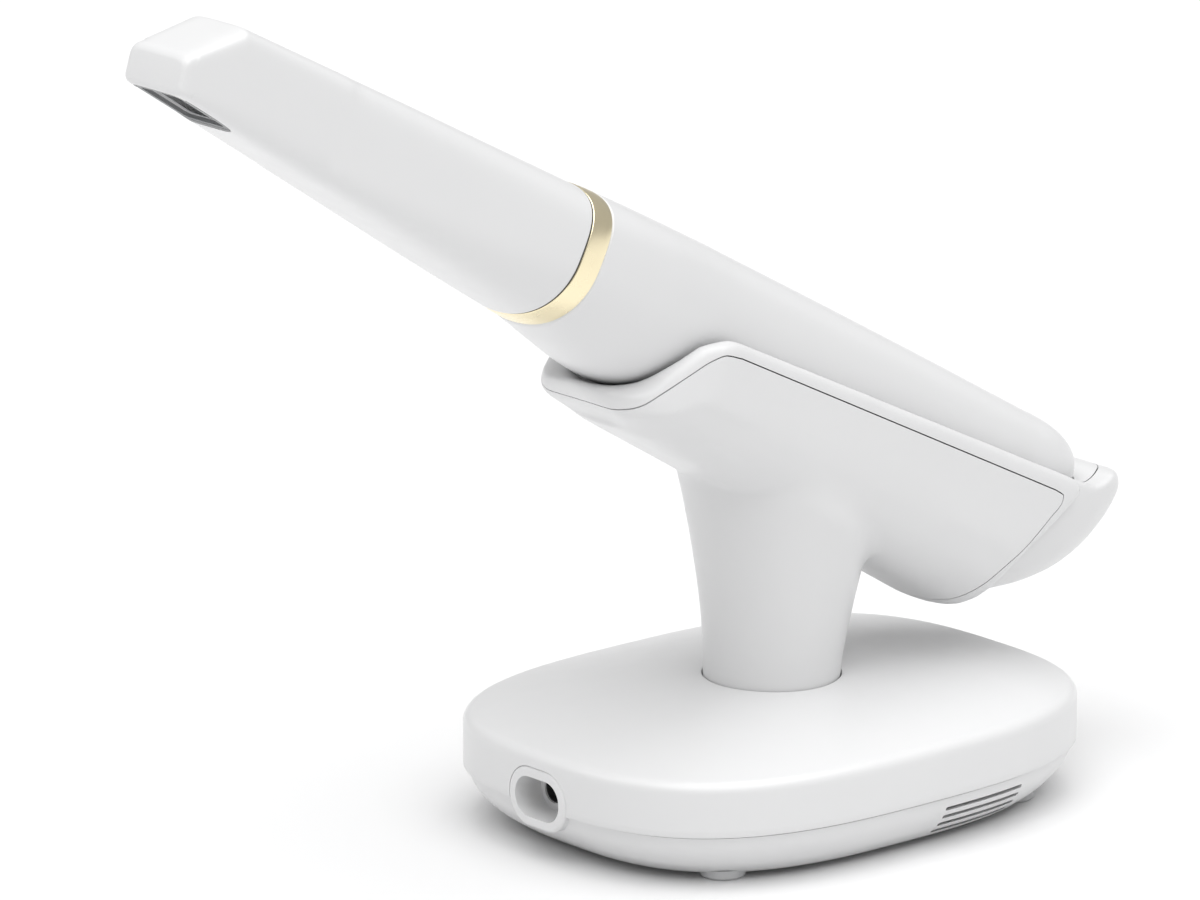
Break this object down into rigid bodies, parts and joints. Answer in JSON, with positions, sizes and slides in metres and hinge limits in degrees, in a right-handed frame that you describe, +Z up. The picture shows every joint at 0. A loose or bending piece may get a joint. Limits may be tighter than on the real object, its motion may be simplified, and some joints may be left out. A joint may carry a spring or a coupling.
{
  "type": "intraoral 3d scanner with charging stand",
  "caption": "Hand-held intraoral 3D scanner with a removable angled-mirror tip, resting in a tilted charging cradle on a flared neck and a weighted base.",
  "frame": {"origin": "centre of the base in plan, at table level under the feet; the stated point is on the underside 1.2 mm above it", "axes": "+Z up, +X from the scan tip towards the handpiece's tail, +Y the scanner's right side seen from its tail"},
  "size_m": [0.2684, 0.104, 0.1974],
  "materials": {
    "shell_white": "satin moulded",
    "stand_white": "satin moulded",
    "base_white": "satin moulded",
    "tray_white": "fine texture",
    "champagne": "satin anodised",
    "seal_grey": "matt",
    "pad_rubber": "matt",
    "foot_rubber": "matt",
    "frame_grey": "fine texture",
    "mirror": "polished",
    "nose_black": "matt",
    "optic_glass": "coated",
    "button_grey": "satin moulded",
    "light_guide": "translucent",
    "contact_gold": "plated",
    "screw_steel": "zinc plated",
    "cast_alloy": "bead blasted",
    "board_green": "solder mask",
    "chip_black": "matt",
    "battery_wrap": "shrink wrap",
    "inner_black": "fine texture",
    "ballast_iron": "as cast",
    "lead_jacket": "matt"
  },
  "bodies": {
    "stand": {"stand_shell": "stand_white", "cradle_rim": "stand_white", "cradle_tray": "tray_white", "rest_pads": "pad_rubber", "tray_screws": "screw_steel", "contact_block": "inner_black", "stern_tray": "tray_white", "stern_cover": "stand_white", "charge_lead": "lead_jacket", "neck_flange": "cast_alloy", "neck_screws": "screw_steel", "base_top_shell": "base_white", "base_bottom_shell": "base_white", "port_bezel": "base_white", "power_jack": "inner_black", "jack_pin": "contact_gold", "rubber_feet": "foot_rubber", "base_screws": "screw_steel", "ballast_plate": "ballast_iron", "dock_board": "board_green", "board_posts": "inner_black", "vent_baffle": "inner_black"},
    "handpiece": {"handle_shell": "shell_white", "accent_ring": "champagne", "ring_gasket": "seal_grey", "nose_housing": "nose_black", "front_window": "optic_glass", "tip_grip_ring": "seal_grey", "status_light": "light_guide", "optics_sled": "cast_alloy", "camera_barrel": "nose_black", "projector_barrel": "nose_black", "camera_lenses": "optic_glass", "projector_lenses": "optic_glass", "image_sensor": "chip_black", "light_engine": "chip_black", "heat_sink": "cast_alloy", "button_board": "board_green", "main_board": "board_green", "battery_pack": "battery_wrap", "battery_cradle": "inner_black", "charge_pads": "contact_gold", "sled_screws": "screw_steel"},
    "scan_tip": {"tip_shell": "shell_white", "window_frame": "frame_grey", "tip_mirror": "mirror"},
    "scan_button": {"scan_button": "button_grey"},
    "contact_pins": {"contact_pins": "contact_gold"}
  },
  "joints": [
    {"name": "lift_out", "type": "slide", "parent": "stand", "child": "handpiece", "axis": [0.4695, 0, 0.8829], "range_m": [0, 0.12]},
    {"name": "tip_pull", "type": "slide", "parent": "handpiece", "child": "scan_tip", "axis": [-0.8829, 0, 0.4695], "range_m": [0, 0.075]},
    {"name": "button_press", "type": "slide", "parent": "handpiece", "child": "scan_button", "axis": [-0.4695, 0, -0.8829], "range_m": [0, 0.0008], "stiffness_N_per_m": 600, "springref_m": -0.001},
    {"name": "pins_press", "type": "slide", "parent": "stand", "child": "contact_pins", "axis": [-0.4695, 0, -0.8829], "range_m": [0, 0.0008], "stiffness_N_per_m": 400, "springref_m": -0.0005}
  ]
}
